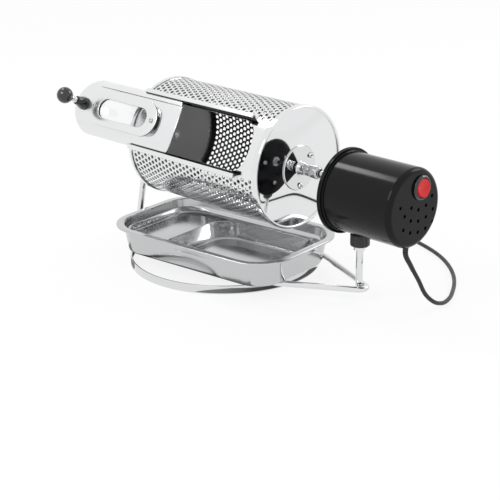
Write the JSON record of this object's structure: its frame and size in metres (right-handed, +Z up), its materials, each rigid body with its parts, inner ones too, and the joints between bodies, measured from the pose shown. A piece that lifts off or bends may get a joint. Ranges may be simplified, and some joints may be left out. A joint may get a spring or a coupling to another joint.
{
  "type": "home coffee bean roaster",
  "caption": "Perforated steel drum roaster: sliding windowed door, gear motor on a post, wire stand with a hoop foot, and a pressed catch tray below the drum.",
  "frame": {"origin": "middle of the footprint at the surface that the hoop foot stands on, without the mains lead", "axes": "+X along the drum's axis towards the motor, +Y to the back, away from the drum's mouth, +Z up"},
  "size_m": [0.4109, 0.2919, 0.1724],
  "materials": {
    "polished_steel": "mirror polished stainless steel",
    "satin_steel": "satin stainless sheet",
    "chrome_wire": "bright chrome plate",
    "dark_steel": "plain zinc plate",
    "brass": "plain brass",
    "black_gloss": "gloss black",
    "black_plastic": "moulded, satin black",
    "red_plastic": "gloss red",
    "clear_glass": "clear",
    "black_rubber": "soft black"
  },
  "bodies": {
    "stand": {"base_hoop": "polished_steel", "stand_wire": "chrome_wire", "right_post": "chrome_wire", "left_post": "chrome_wire", "left_post_eye": "polished_steel", "lock_nut": "satin_steel", "post_nut": "satin_steel", "motor_housing": "black_gloss", "motor_front_cover": "black_gloss", "cover_screw_1": "satin_steel", "cover_screw_2": "satin_steel", "cover_screw_3": "satin_steel", "gearbox": "dark_steel", "motor_can": "dark_steel", "shaft_bush": "brass", "switch_bezel": "black_plastic", "cord_grommet": "black_rubber", "cord_free": "black_rubber", "cord_coil": "black_rubber", "plug_body": "black_rubber", "plug_pin_1": "brass", "plug_pin_2": "brass"},
    "drum": {"drum_shell": "satin_steel", "right_end_cap": "polished_steel", "left_end_cap": "polished_steel", "right_hub_plate": "polished_steel", "left_hub_plate": "polished_steel", "right_hub_screw_1": "satin_steel", "right_hub_screw_2": "satin_steel", "right_hub_screw_3": "satin_steel", "left_hub_screw_1": "satin_steel", "left_hub_screw_2": "satin_steel", "left_hub_screw_3": "satin_steel", "right_spindle": "polished_steel", "right_spindle_nut": "satin_steel", "left_spindle": "polished_steel", "left_spindle_nut": "satin_steel", "shaft_coupling": "polished_steel", "drive_shaft": "polished_steel", "door_rail_top": "satin_steel", "door_rail_bottom": "satin_steel"},
    "door": {"door_panel": "satin_steel", "window_bezel": "polished_steel", "window_glass": "clear_glass", "bezel_screw_1": "satin_steel", "bezel_screw_2": "satin_steel", "knob_base": "black_plastic", "knob_neck": "chrome_wire", "knob_ball": "black_gloss"},
    "rocker": {"rocker_switch": "red_plastic"},
    "clamp": {"clamp_knob": "black_plastic"},
    "tray": {"catch_tray": "polished_steel"}
  },
  "joints": [
    {"name": "drum_spin", "type": "hinge", "parent": "stand", "child": "drum", "pos_m": [0.05829, 0.01158, 0.1124], "axis": [1, 0, 0], "range_deg": [-190, 75]},
    {"name": "door_slide", "type": "slide", "parent": "drum", "child": "door", "axis": [1, 0, 0], "range_m": [0, 0.1]},
    {"name": "switch_rock", "type": "hinge", "parent": "stand", "child": "rocker", "pos_m": [0.19809, 0.01938, 0.1212], "axis": [0, 1, 0], "range_deg": [0, 16]},
    {"name": "clamp_turn", "type": "hinge", "parent": "stand", "child": "clamp", "pos_m": [0.13569, 0.01158, 0.0532], "axis": [0, 0, 1], "continuous": true},
    {"name": "tray_slide", "type": "slide", "parent": "stand", "child": "tray", "axis": [0.0958, -0.9954, 0], "range_m": [0, 0.15]}
  ]
}
